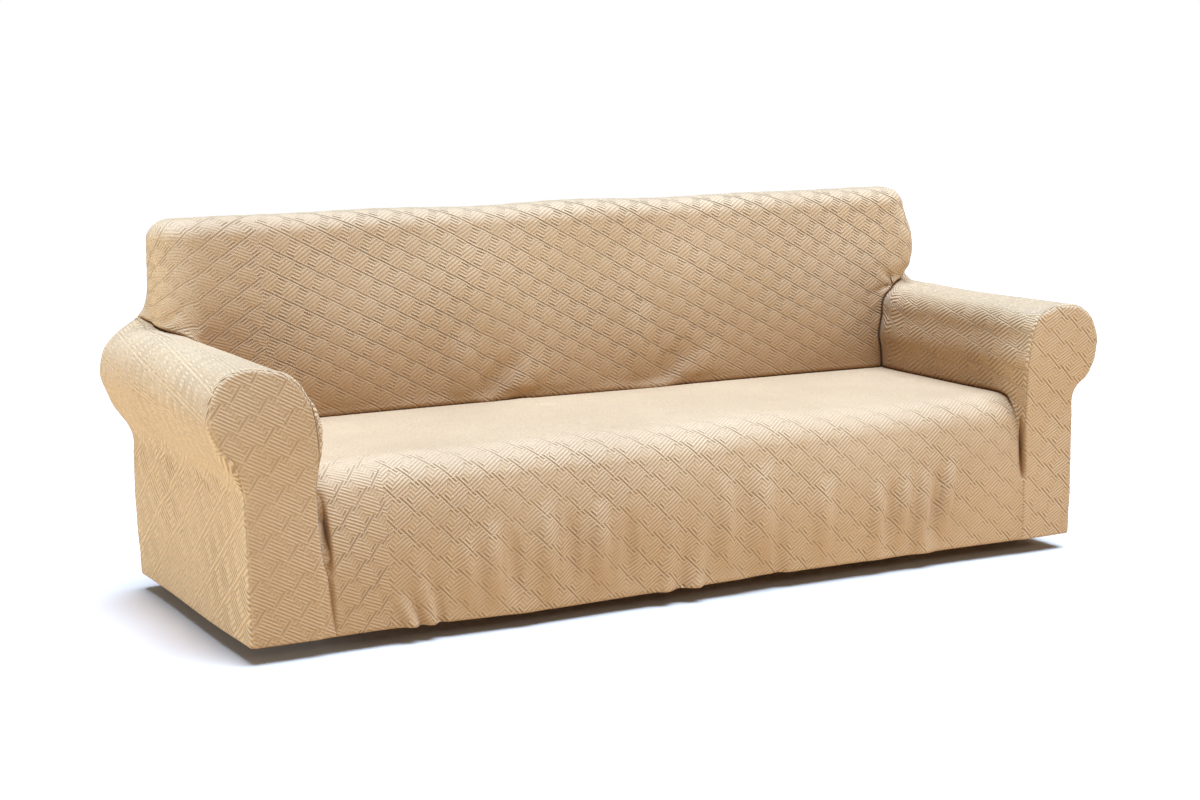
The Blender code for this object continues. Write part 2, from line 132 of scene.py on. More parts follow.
BACK_CREASES = [  # x at the seat, half width, reach, lean, rise
    (-0.262, 0.035, 0.16, 0.20, -0.005),
    (-0.176, 0.040, 0.20, 0.25, 0.005),
    (0.300, 0.050, 0.20, 0.30, 0.004),
    (0.226, 0.110, 0.55, 0.00, -0.006),
]

# Seam lines.  Distances from the middle plane are positive on both sides.
OUTER_LINE = {  # from the hem up the outer side and over the roll: x, z
    "left": [(1.100, HEM_HEIGHT), (1.106, 0.22), (1.112, 0.34), (1.124, 0.42), (1.155, 0.465), (1.178, 0.505),
             (1.184, 0.545), (1.170, 0.59), (1.135, 0.618), (1.085, 0.628)],
    "right": [(1.100, HEM_HEIGHT), (1.100, 0.20), (1.101, 0.34), (1.108, 0.40), (1.140, 0.425), (1.166, 0.47),
              (1.176, 0.53), (1.160, 0.585), (1.125, 0.617), (1.085, 0.628)],
}
SHOULDER_FRONT = {  # over the top of the arm to its inner shoulder: x, y, z
    "left": [(1.085, 0.0, 0.628), (1.050, 0.0, 0.622), (1.020, 0.0, 0.610), (0.985, 0.0, 0.580)],
    "right": [(1.085, 0.0, 0.628), (1.050, 0.0, 0.628), (1.020, 0.0, 0.627), (0.993, 0.0, 0.617)],
}
SHOULDER_REAR = {  # from the rear edge, round the end of the back, to the same shoulder
    "left": [(1.085, DEPTH, 0.640), (1.080, 0.725, 0.640), (1.058, 0.680, 0.634), (1.020, 0.650, 0.612),
             (0.985, 0.634, 0.580)],
    "right": [(1.085, DEPTH, 0.640), (1.080, 0.725, 0.640), (1.058, 0.680, 0.634), (1.025, 0.652, 0.628),
              (0.993, 0.640, 0.617)],
}
INNER_FRONT = {  # down the inner side of the arm to the seat
    "left": [(0.985, 0.0, 0.580), (0.965, 0.0, 0.550), (0.952, 0.0, 0.510), (0.944, 0.0, 0.440),
             (0.943, 0.0, 0.350), (0.944, 0.006, 0.285)],
    "right": [(0.993, 0.0, 0.617), (0.966, 0.0, 0.564), (0.953, 0.0, 0.500), (0.945, 0.0, 0.420),
              (0.944, 0.0, 0.350), (0.944, 0.006, 0.285)],
}
INNER_REAR = {
    "left": [(0.985, 0.634, 0.580), (0.965, 0.628, 0.550), (0.950, 0.618, 0.500), (0.946, 0.600, 0.402)],
    "right": [(0.993, 0.640, 0.617), (0.966, 0.630, 0.564), (0.953, 0.618, 0.500), (0.946, 0.600, 0.402)],
}
GROOVE = {  # between the front drop and the arm front, from the hem up
    "left": [(0.912, 0.0, HEM_HEIGHT), (0.924, 0.0, 0.139), (0.936, 0.0, 0.230), (0.944, 0.006, 0.285)],
    "right": [(0.947, 0.0, HEM_HEIGHT), (0.947, 0.0, 0.139), (0.946, 0.0, 0.230), (0.944, 0.006, 0.285)],
}
SEAT_SIDE = [(0.944, 0.006, 0.285), (0.945, 0.030, 0.340), (0.945, 0.055, 0.378), (0.946, 0.10, 0.402),
             (0.946, 0.30, 0.402), (0.946, 0.60, 0.402)]
END_REAR = [(1.085, DEPTH, 0.640), (BACK_HALF_LENGTH, DEPTH, 0.680), (BACK_HALF_LENGTH, DEPTH, 0.810)]
CORNER_REAR = [(BACK_HALF_LENGTH, DEPTH, 0.810), (1.058, DEPTH, 0.850), (1.010, DEPTH, 0.875)]
OVER_THE_TOP = [  # from the shoulder over the back: distance out from the shoulder, y, z
    (0.0000, 0.648, 0.70),
    (0.0034, 0.664, 0.82),
    (0.0068, 0.680, 0.862),
    (0.0102, 0.712, 0.880),
    (0.0136, 0.745, 0.876),
]

# The part's own origin lies under the cloth at the top of the back, where the sofa carries it.
MOUNT = np.array((0.0, 0.712, TOP_HEIGHT - SHEET))

# ---------------------------------------------------------------- what only the looks have
# Mesh steps along the seams: each is a multiple of COARSE, and COARSE one of LINING.
STEPS = {"outer": 180, "shoulder": 36, "inner": 72, "arm_depth": 156, "groove": 60, "across": 420,
         "over": 84, "front_hem": 36, "rear_hem": 240}
COARSE = 12       # the grid is evened out on every twelfth point, then filled in
LINING = 4        # the inner face of the cloth has every fourth point
FLAT_SPACING = {"outside_back": 0.0068, "arm_front": 0.00175}
RIM_CLEARANCE = 0.6      # least distance of a flat panel's inner points from its rim, in spacings
WELD = 2e-5              # points this close become one

# Small folds of the front's hem: x and z of both ends, half its width, how far it rises, and whether
# it is deepest at its start instead of its middle.
HEM_PUCKERS = [
    # x,    z,     x,      z,      half,  rise,  from the start
    (-0.690, 0.030, -0.735, 0.230, 0.023,  0.014, True),
    (-0.664, 0.030, -0.690, 0.190, 0.017, -0.009, True),
    (-0.732, 0.030, -0.790, 0.150, 0.020,  0.011, True),
    (-0.711, 0.030, -0.758, 0.170, 0.013, -0.009, True),
    (-0.600, 0.050, -0.606, 0.230, 0.028,  0.008, False),
    (-0.544, 0.050, -0.540, 0.250, 0.030,  0.012, False),
    (-0.490, 0.050, -0.492, 0.230, 0.024, -0.008, False),
    (-0.410, 0.050, -0.405, 0.280, 0.032,  0.012, False),
    (-0.345, 0.050, -0.345, 0.260, 0.027, -0.008, False),
    (-0.275, 0.050, -0.272, 0.270, 0.032,  0.012, False),
    (-0.200, 0.050, -0.198, 0.240, 0.028, -0.008, False),
    (-0.098, 0.035, -0.076, 0.270, 0.028,  0.012, True),
    (-0.058, 0.035, -0.042, 0.220, 0.018, -0.008, True),
    (-0.020, 0.030,  0.002, 0.240, 0.025,  0.012, True),
    ( 0.055, 0.070,  0.068, 0.290, 0.032,  0.012, False),
    ( 0.150, 0.050,  0.178, 0.310, 0.050,  0.015, False),
    ( 0.216, 0.030,  0.204, 0.230, 0.027, -0.009, True),
    ( 0.330, 0.060,  0.345, 0.260, 0.034,  0.010, False),
    ( 0.482, 0.045,  0.503, 0.250, 0.027,  0.012, False),
    ( 0.520, 0.050,  0.542, 0.240, 0.019, -0.008, False),
    ( 0.556, 0.060,  0.590, 0.260, 0.026,  0.012, False),
    ( 0.612, 0.035,  0.652, 0.250, 0.027,  0.014, False),
    ( 0.652, 0.050,  0.694, 0.260, 0.019, -0.010, False),
    ( 0.688, 0.070,  0.735, 0.290, 0.026,  0.013, False),
]
# All small folds, as x, y, z of both ends, and the rest as above.
SMALL_FOLDS = [((x0, 0.0, z0), (x1, 0.0, z1), *rest) for x0, z0, x1, z1, *rest in HEM_PUCKERS] + [
    ((-0.285, 0.597, 0.400), (-0.170, 0.606, 0.520), 0.042, -0.007, False),   # back, up from the seat
    ((-0.345, 0.597, 0.405), (-0.300, 0.608, 0.580), 0.055, 0.009, False),
    ((-0.205, 0.597, 0.400), (-0.090, 0.606, 0.500), 0.050, 0.007, False),
    ((0.215, 0.597, 0.400), (0.340, 0.606, 0.520), 0.042, -0.007, False),
    ((0.160, 0.597, 0.405), (0.200, 0.620, 0.620), 0.060, 0.009, False),
    ((0.300, 0.597, 0.400), (0.430, 0.606, 0.490), 0.050, 0.006, False),
    ((0.990, 0.622, 0.622), (0.890, 0.617, 0.598), 0.013, -0.007, True),   # pinch at the right arm
    ((0.978, 0.620, 0.600), (0.895, 0.610, 0.550), 0.013, 0.006, True),
    ((0.995, 0.624, 0.640), (0.930, 0.627, 0.685), 0.018, -0.008, True),
    ((0.962, 0.616, 0.580), (0.912, 0.608, 0.500), 0.010, -0.004, True),
    ((-1.060, 0.645, 0.640), (-0.985, 0.622, 0.705), 0.015, -0.005, True),   # and at the left arm
    ((-1.000, 0.630, 0.600), (-0.930, 0.620, 0.665), 0.013, 0.004, True),
    ((-1.116, 0.315, 0.412), (-1.109, 0.065, 0.352), 0.013, -0.004, False),   # under the left roll
    ((-1.113, 0.350, 0.385), (-1.108, 0.110, 0.318), 0.013, -0.003, False),
    ((-1.110, 0.720, 0.352), (-1.100, 0.434, 0.126), 0.042, 0.005, False),   # outer sides of the arms
    ((-1.115, 0.690, 0.417), (-1.105, 0.434, 0.298), 0.042, 0.005, False),
    ((-1.110, 0.600, 0.360), (-1.100, 0.330, 0.160), 0.042, -0.005, False),
    ((1.104, 0.080, 0.330), (1.100, 0.360, 0.130), 0.030, 0.005, False),
    ((1.104, 0.300, 0.360), (1.100, 0.600, 0.180), 0.032, 0.005, False),
    ((-0.420, DEPTH, 0.050), (-0.350, DEPTH, 0.480), 0.045, 0.006, False),   # outside back
    ((0.380, DEPTH, 0.050), (0.300, DEPTH, 0.560), 0.050, 0.006, False),
    ((0.900, DEPTH, 0.600), (0.700, DEPTH, 0.250), 0.045, 0.005, False),
    ((-0.950, DEPTH, 0.560), (-0.780, DEPTH, 0.220), 0.045, 0.005, False),
]
# Grooves beside the arms, drawn in towards the rear: the two ends, half the width, the depth, the
# painted shade in the groove, and how far to the right of the groove that painted shade lies.
GROOVES = [
    # x, y, z                  x, y, z                  half   depth  shade aside
    ((-0.940, 0.030, 0.405), (-0.928, 0.000, 0.165), 0.014, 0.016, 1.0, 0.008),
    ((-0.933, 0.000, 0.250), (-0.917, 0.000, 0.050), 0.012, 0.006, 0.6, 0.004),
    ((0.946, 0.014, 0.355), (0.946, 0.000, 0.195), 0.011, 0.012, 0.9, 0.0),
]
GROOVE_SHADE_REACH = 0.6     # of the shade, in half widths of its groove
# The slow unevenness: its turns in radians for each metre of x, y and z, and where it starts.
WAVES = [(13.0, 9.0, 7.0, 1.0), (-9.0, 6.0, 16.0, 2.6)]
WAVE_RISE = 0.0017

# The weave: steps of its lattice in millimetres, along the long lines and along the ribs.
WEAVE = {
    "back": ((51.0, -28.0), (44.0, 29.0)),
    "back_end": ((-45.5, -27.5), (-55.5, 23.0)),
    "drop": ((43.0, -34.0), (46.0, 33.0)),
    "drop_end": ((-38.0, -38.0), (-49.0, 20.0)),
    "front_left": ((-44.0, -34.0), (-56.0, 29.0)),
    "front_right": ((44.5, -32.5), (54.0, 29.5)),
    "inner_arm": ((95.0, 15.0), (47.0, -38.0)),
    "roll": ((52.0, -8.0), (20.0, 64.0)),
    "outer_arm": ((56.0, 42.0), (68.0, -58.0)),
}
MIRROR_BACK = -0.826     # left of these the pattern runs the other way
MIRROR_DROP = -0.787
OUTER_TO, INNER_FROM = 0.42, 0.81     # an arm's outer side and inner side, along its cloth from the hem
# How the weave stands out on each group of panels.  Lengths are in steps of the pattern: ribs in a
# step, width of the strips of short ribs, how far the lines turn from their row (a whole number of
# ribs), half length and half width of the lines.  Then the strengths of the ribs on the blocks, at
# the ends and the middle of the strips and on the lines, of the blocks' rise and of the grain, the
# grain's scale, and the lightness of plain cloth: the cloth's own tone, made lighter on the back and
# arms and darker on the drop and fronts as painted light and shade.
Look = namedtuple("Look", "ribs strip lean reach line_half block_ribs strip_ends strip_middle line_ribs "
                          "puff grain grain_scale tone")
LOOKS = {
    "back": Look(6.0, 0.36, 0.0, 0.50, 0.09, 0.46, 1.50, 0.80, 1.30, 1.0, 1.0, 190.0, 0.65),
    "drop": Look(7.0, 0.30, 1.0 / 7.0, 0.44, 0.08, 0.62, 1.10, 0.36, 1.10, 0.75, 1.0, 190.0, 0.57),
    "fronts": Look(7.0, 0.20, 2.0 / 7.0, 0.36, 0.09, 0.58, 0.50, 0.25, 0.60, 0.35, 1.0, 190.0, 0.585),
    "arms": Look(7.0, 0.36, 0.0, 0.36, 0.08, 1.35, 0.80, 0.45, 0.80, 0.6, 2.4, 120.0, 0.71),
}
FRONT_LOOK = {"left": "fronts", "right": "drop"}
STRIP_EDGE, LINE_EDGE, REACH_EDGE = 0.02, 0.03, 0.04    # how softly strips, lines and lines' ends stop
BLOCK_EDGE, VALLEY_EDGE = (0.08, 0.14), 0.06            # and the raised blocks and the valleys between them

BLOCK_PUFF = 0.0013      # rise of the blocks in the mesh
FINE_RISE = 0.0003       # rise of the ribs in the mesh of the arm fronts
RIB_BUMP = 0.0011        # rise of the ribs and of the grain in the material
GRAIN_BUMP = 0.0020

# Painted shade: how much darker the cloth's colour is made where little light gets in.
BACK_PAINTED_SHADE, ARM_PAINTED_SHADE = 0.41, 0.28
# painted shade on the arm fronts, darker towards the bottom, most on the left
FRONT_PAINTED_SHADE = {"left": 0.12, "right": 0.02}
DROP_PAINTED_SHADE = (0.055, 0.075)     # on all of the front drop, and more towards its left end
# the painted shade of the hollow starts at HOLLOW_TOP and is full HOLLOW_DEPTH further down
HOLLOW_TOP, HOLLOW_DEPTH = 0.72, 0.32     # z, metres: the hollow between the arms and the back

# How deep and how wide a panel's edge is drawn in: a plain seam, and a tucked-in crease.
SEAM = (0.0011, 0.005)
CREASE = (0.0085, 0.008)
# painted shade beside a tucked crease reaches this far
SHADE_REACH = 0.0032          # how far the cloth stays dark beside a crease
TUCK_FADE = (0.02, 0.08)      # from the front and the rear face: where a crease becomes a plain seam
FOLDS_FROM = (0.004, 0.030)   # from a crease: where the small folds begin
BORDER_CALM = 0.02            # the weave is flat this far beside a line where it turns


def smooth_union(first, second, reach):
    overlap = np.clip(1.0 - np.abs(first - second) / reach, 0.0, 1.0)
    return np.minimum(first, second) - reach * overlap ** 2 / 4.0


def outline_distance(across, up, corners):
    """Signed distance to a closed outline, negative inside."""
    nearest = np.full(across.shape, np.inf)
    inside = np.zeros(across.shape, dtype=bool)
    for (x0, z0), (x1, z1) in zip(corners, corners[1:] + corners[:1]):
        run, climb = x1 - x0, z1 - z0
        along = ((across - x0) * run + (up - z0) * climb) / (run * run + climb * climb)
        along = np.clip(along, 0.0, 1.0)
        nearest = np.minimum(nearest, np.hypot(across - x0 - along * run, up - z0 - along * climb))
        if climb:
            crossing = x0 + (up - z0) * run / climb
            inside ^= ((up < z0) != (up < z1)) & (across < crossing)
    return np.where(inside, -nearest, nearest)


def extruded(section, beyond_end, edge):
    """A section carried along an axis, with its end edges rounded."""
    a, b = section + edge, beyond_end + edge
    return np.minimum(np.maximum(a, b), 0.0) + np.hypot(np.maximum(a, 0.0), np.maximum(b, 0.0)) - edge


def arm_distance(x, y, z, side):
    head = outline_distance(x, z, HEAD_CORE[side]) - HEAD_ROUND[side]
    body = outline_distance(x, z, BODY_CORE[side]) - BODY_ROUND
    edge = np.where(y < DEPTH / 2, ARM_FRONT_EDGE, ARM_REAR_EDGE)
    return extruded(smooth_union(head, body, NECK_FILLET[side]), np.abs(y - DEPTH / 2) - DEPTH / 2, edge)


def ramp(value, start, end):
    t = np.clip((value - start) / (end - start), 0.0, 1.0)
    return t * t * (3.0 - 2.0 * t)


def bump(offset, half):
    return np.clip(1.0 - (offset / half) ** 2, 0.0, 1.0) ** 2


def fullness(x, y, z):
    rise = np.zeros(x.shape)
    for middle, half, height in CROWNS:
        rise += height * np.prod([bump(c - m, h) for c, m, h in zip((x, y, z), middle, half)], axis=0)
    on_front = (y < FRONT_TO) & (z < SEAT_HEIGHT)
    on_back = (y > BACK_WITHIN[0]) & (y < BACK_WITHIN[1]) & (z > SEAT_HEIGHT)
    above_seat = np.clip((z - SEAT_HEIGHT) / CREASE_START, 0.0, 1.0)
    for folds, foot, within, start in ((HEM_FOLDS, HEM_HEIGHT, on_front, 1.0),
                                       (BACK_CREASES, SEAT_HEIGHT, on_back, above_seat)):
        above = z - foot
        for place, half, reach, lean, height in folds:
            fade = np.clip(1.0 - np.clip(above, 0.0, None) / reach, 0.0, 1.0) ** 2
            rise += within * height * fade * start * bump(x - place - lean * above, half)
    return rise


def form(points):
    """Distance from the outer face of the whole cover, negative inside."""
    x, y, z = points.T
    out = np.abs(x)
    lean = FRONT_LEAN * np.clip(z - FRONT_LEAN_FROM, 0.0, None) ** 2 * ramp(y, *FRONT_LEAN_FADE)
    seat = outline_distance(y - lean, z, SEAT_CORE) - SEAT_ROUND
    seat = extruded(seat, out - SEAT_HALF_LENGTH, SEAT_END_ROUND)
    back = outline_distance(y, z - TOP_TILT * x, BACK_CORE) - BACK_ROUND
    back = extruded(back, out - BACK_HALF_LENGTH, BACK_END_ROUND)
    arms = np.full(x.shape, np.inf)
    for side, here in (("left", x < -ARMS_BEYOND), ("right", x > ARMS_BEYOND)):
        if here.any():
            arms[here] = arm_distance(out[here], y[here], z[here], side)
    to_end = np.prod([ramp(c, *limits) for c, limits in zip((out, y, z), END_FILLET_ZONE)], axis=0)
    fillet = CREASE_FILLET + (END_FILLET - CREASE_FILLET) * to_end
    whole = smooth_union(seat, back, CREASE_FILLET)
    near = np.isfinite(arms)
    whole[near] = smooth_union(whole[near], arms[near], fillet[near])
    return whole - fullness(x, y, z)


def form_normal(points, step=0.0002):
    slope = np.zeros(points.shape)
    for axis in range(3):
        offset = np.zeros(3)
        offset[axis] = step
        slope[:, axis] = form(points + offset) - form(points - offset)
    return slope / np.linalg.norm(slope, axis=1, keepdims=True)


def onto_form(points, rounds=8, longest=0.03):
    points = np.array(points, dtype=float).reshape(-1, 3)
    for _ in range(rounds):
        points = points - np.clip(form(points), -longest, longest)[:, None] * form_normal(points)
    return points


def lengths_along(lines):
    """Length from the first row down each column of a grid of points."""
    steps = np.linalg.norm(np.diff(lines, axis=0), axis=-1)
    return np.concatenate([np.zeros((1,) + steps.shape[1:]), np.cumsum(steps, axis=0)])


def lengths_across(lines):
    return np.swapaxes(lengths_along(np.swapaxes(lines, 0, 1)), 0, 1)


def spread(points, fractions):
    """Points at the given fractions of a line's length."""
    lengths = lengths_along(points)
    return np.column_stack([np.interp(fractions * lengths[-1], lengths, points[:, k]) for k in range(3)])


def even(steps):
    return np.linspace(0.0, 1.0, steps + 1)


def closer_on_roll(steps):
    """Two fifths of the steps on the plain outer side, the rest round the roll."""
    return np.interp(even(steps), (0.0, 0.4, 1.0), (0.0, 0.5, 1.0))


def catmull_rom(a, b, c, d, t):
    """The place t of the way from b to c on a curve through the four points."""
    return 0.5 * (2 * b + (c - a) * t + (2 * a - 5 * b + 4 * c - d) * t ** 2
                  + (3 * b - a - 3 * c + d) * t ** 3)


def smooth_line(waypoints, fractions):
    """A Catmull-Rom curve through the waypoints, laid onto the form."""
    knots = np.array(waypoints, dtype=float)
    knots = np.vstack([2 * knots[0] - knots[1], knots, 2 * knots[-1] - knots[-2]])
    curve = []
    for a, b, c, d in zip(knots, knots[1:], knots[2:], knots[3:]):
        for t in np.linspace(0.0, 1.0, 12, endpoint=False):
            curve.append(catmull_rom(a, b, c, d, t))
    curve.append(knots[-2])
    return onto_form(spread(onto_form(curve), fractions))


def on_side(waypoints, side):
    sign = -1.0 if side == "left" else 1.0
    return [(sign * x, y, z) for x, y, z in waypoints]


def seams_of(side):
    """The seam lines of one side of the cover, by name."""
    outer_front = [(x, 0.0, z) for x, z in OUTER_LINE[side]]
    outer_rear = [(x, DEPTH, z) for x, z in OUTER_LINE[side][:-1]] + [SHOULDER_REAR[side][0]]
    hem = [(OUTER_LINE[side][0][0], y, HEM_HEIGHT) for y in (0.0, DEPTH / 2, DEPTH)]
    shoulder = INNER_REAR[side][0]
    over = [shoulder] + [(shoulder[0] + out, y, z) for out, y, z in OVER_THE_TOP] + [CORNER_REAR[-1]]
    lines = {       # the line, and which steps it has
        "outer_front": (outer_front, "outer"),
        "outer_rear": (outer_rear, "outer"),
        "shoulder_front": (SHOULDER_FRONT[side], "shoulder"),
        "shoulder_rear": (SHOULDER_REAR[side], "shoulder"),
        "inner_front": (INNER_FRONT[side], "inner"),
        "inner_rear": (INNER_REAR[side], "inner"),
        "side_hem": (hem, "arm_depth"),
        "seat_side": (SEAT_SIDE, "arm_depth"),
        "groove": (GROOVE[side], "groove"),
        "over": (over, "over"),
        "end_rear": (END_REAR, "over"),
        "corner_rear": (CORNER_REAR, "shoulder"),
    }
    spacing = {kind: even(steps) for kind, steps in STEPS.items()}
    spacing["outer"] = closer_on_roll(STEPS["outer"])
    return {name: smooth_line(on_side(line, side), spacing[kind]) for name, (line, kind) in lines.items()}


def across(left_point, right_point, steps):
    fractions = even(steps)[:, None]
    return onto_form(left_point * (1.0 - fractions) + right_point * fractions)


def joined(*lines):
    """Lines end to end, each shared end kept once."""
    return np.vstack([lines[0]] + [line[1:] for line in lines[1:]])


def between(low, high, left, right):
    """The Coons surface of four lines, as a grid of rows that run from low to high."""
    t = even(len(left) - 1)[:, None, None]
    s = even(len(low) - 1)[None, :, None]
    grid = (1 - t) * low[None] + t * high[None] + (1 - s) * left[:, None] + s * right[:, None]
    corners = (1 - t) * (1 - s) * low[0] + (1 - t) * s * low[-1] + t * (1 - s) * high[0] + t * s * high[-1]
    return grid - corners


def filled_in(grid, factor):
    """A grid with factor times the steps along its rows' order, on Catmull-Rom curves."""
    padded = np.concatenate([2 * grid[:1] - grid[1:2], grid, 2 * grid[-1:] - grid[-2:-1]])
    a, b, c, d = padded[:-3, None], padded[1:-2, None], padded[2:-1, None], padded[3:, None]
    t = np.linspace(0.0, 1.0, factor, endpoint=False).reshape((1, factor) + (1,) * (grid.ndim - 1))
    curve = catmull_rom(a, b, c, d, t)
    return np.concatenate([curve.reshape((-1,) + grid.shape[1:]), grid[-1:]])


def patch(low, high, left, right, rounds=12):
    """A dense grid between four seam lines, evened out over the form."""
    k = COARSE
    coarse = between(low[::k], high[::k], left[::k], right[::k])
    for _ in range(rounds):
        inner = 0.25 * (coarse[:-2, 1:-1] + coarse[2:, 1:-1] + coarse[1:-1, :-2] + coarse[1:-1, 2:])
        inner = 0.5 * (inner + coarse[1:-1, 1:-1])
        coarse[1:-1, 1:-1] = onto_form(inner, rounds=2).reshape(inner.shape)
    grid = filled_in(coarse, k)
    grid = np.swapaxes(filled_in(np.swapaxes(grid, 0, 1), k), 0, 1)
    grid = grid + between(low - grid[0], high - grid[-1], left - grid[:, 0], right - grid[:, -1])
    inner = grid[1:-1, 1:-1]
    grid[1:-1, 1:-1] = onto_form(inner, rounds=4).reshape(inner.shape)
    return grid


# ---------------------------------------------------------------- weave and folds
def lattice(weave, cloth):
    """Place in the pattern (p along the lines, q along the ribs) of a place on the cloth in metres."""
    (p_a, p_b), (q_a, q_b) = WEAVE[weave]
    size = p_a * q_b - p_b * q_a
    a, b = 1000.0 * cloth[..., 0], 1000.0 * cloth[..., 1]
    return np.stack([(a * q_b - b * q_a) / size, (b * p_a - a * p_b) / size], axis=-1)


def index_of(weave):
    return list(WEAVE).index(weave)


def cycle(value, middle=0.0):
    """Distance from the nearest whole step, -0.5 to 0.5."""
    return (value - middle + 0.5) % 1.0 - 0.5


def weave_places(place, look):
    """At places in the pattern: off a strip's middle, along and off a line, and the place across the rows."""
    p, q = place[..., 0], place[..., 1]
    along_line = cycle(p, look.strip / 2)
    row = q + look.lean * along_line
    return np.abs(cycle(p + 0.5 * (row % 1.0), look.strip / 2)), np.abs(along_line), np.abs(cycle(row)), row


def raised(place, look):
    """Rise of the cloth by the blocks of the weave: what the mesh can carry."""
    off_strip, along_line, _, row = weave_places(place, look)
    block = ramp(off_strip, look.strip / 2 - BLOCK_EDGE[0], look.strip / 2 + BLOCK_EDGE[1])
    valley = 1.0 - np.sin(math.pi * (row % 1.0)) ** 0.5
    valley *= 1.0 - ramp(along_line, look.reach - VALLEY_EDGE, look.reach + VALLEY_EDGE)
    return look.puff * BLOCK_PUFF * ((0.4 + 0.6 * block) * (1.0 - valley) - 0.3 * valley)


def ribs(place, look):
    """The ribs themselves, -1 to 1, for a mesh fine enough for them."""
    off_strip, along_line, off_line, row = weave_places(place, look)
    strip = 1.0 - ramp(off_strip, look.strip / 2 - STRIP_EDGE, look.strip / 2 + STRIP_EDGE)
    line = 1.0 - ramp(off_line, look.line_half - LINE_EDGE, look.line_half + LINE_EDGE)
    line *= 1.0 - ramp(along_line, look.reach - REACH_EDGE, look.reach + REACH_EDGE)
    crossing = np.maximum(look.strip_ends * strip, line)
    along_ribs = np.cos(math.tau * look.ribs * place[..., 0])
    return -(1.0 - crossing) * along_ribs - crossing * np.cos(math.tau * look.ribs * row)


def along(points, start, end):
    """How far along a line each point lies, 0 to 1, and its distance from the line."""
    start, end = np.array(start), np.array(end)
    run = end - start
    t = np.clip((points - start) @ run / (run @ run), 0.0, 1.0)
    return t, np.linalg.norm(points - start - t[:, None] * run, axis=1)


def small_folds(points):
    rise = np.zeros(len(points))
    for start, end, half, height, from_start in SMALL_FOLDS:
        t, off = along(points, start, end)
        fade = (1.0 - t) ** 1.5 if from_start else np.sin(math.pi * t)
        rise += height * fade * bump(off, half)
    for turns in WAVES:
        rise += WAVE_RISE * np.sin(points @ turns[:3] + turns[3])
    return rise


def beside_arms(points):
    """Depth of the grooves beside the arms, and the painted shade in them."""
    depth, shade = np.zeros(len(points)), np.zeros(len(points))
    for start, end, half, deepest, darkest, aside in GROOVES:
        t, off = along(points, start, end)
        fade = np.sin(math.pi * t) ** 0.5
        depth = np.maximum(depth, deepest * fade * bump(off, half))
        t, off = along(points - (aside, 0.0, 0.0), start, end)
        fade = np.sin(math.pi * t) ** 0.4
        shade = np.maximum(shade, darkest * fade * np.exp(-(off / (GROOVE_SHADE_REACH * half)) ** 2))
    return depth, shade


def painted_hollow_shade(points):
    """Painted shade, 0 to 1: deeper down the hollow between the arms and the back, beside the arms and to the
    left.
    """
    x, y, z = points.T
    inside = ramp(-np.abs(x), -1.02, -0.96) * ramp(y, 0.02, 0.20) * ramp(-y, -0.70, -0.66)
    down = np.clip((HOLLOW_TOP - z) / HOLLOW_DEPTH, 0.0, 1.0) ** 1.3
    # more painted shade beside the arms, and towards the left end
    beside = 0.3 * ramp(np.abs(x), 0.80, 0.95) * ramp(-z, -0.76, -0.60) + 0.3 * ramp(-x, 0.35, 0.95)
    return inside * np.clip(down + beside, 0.0, 1.0)


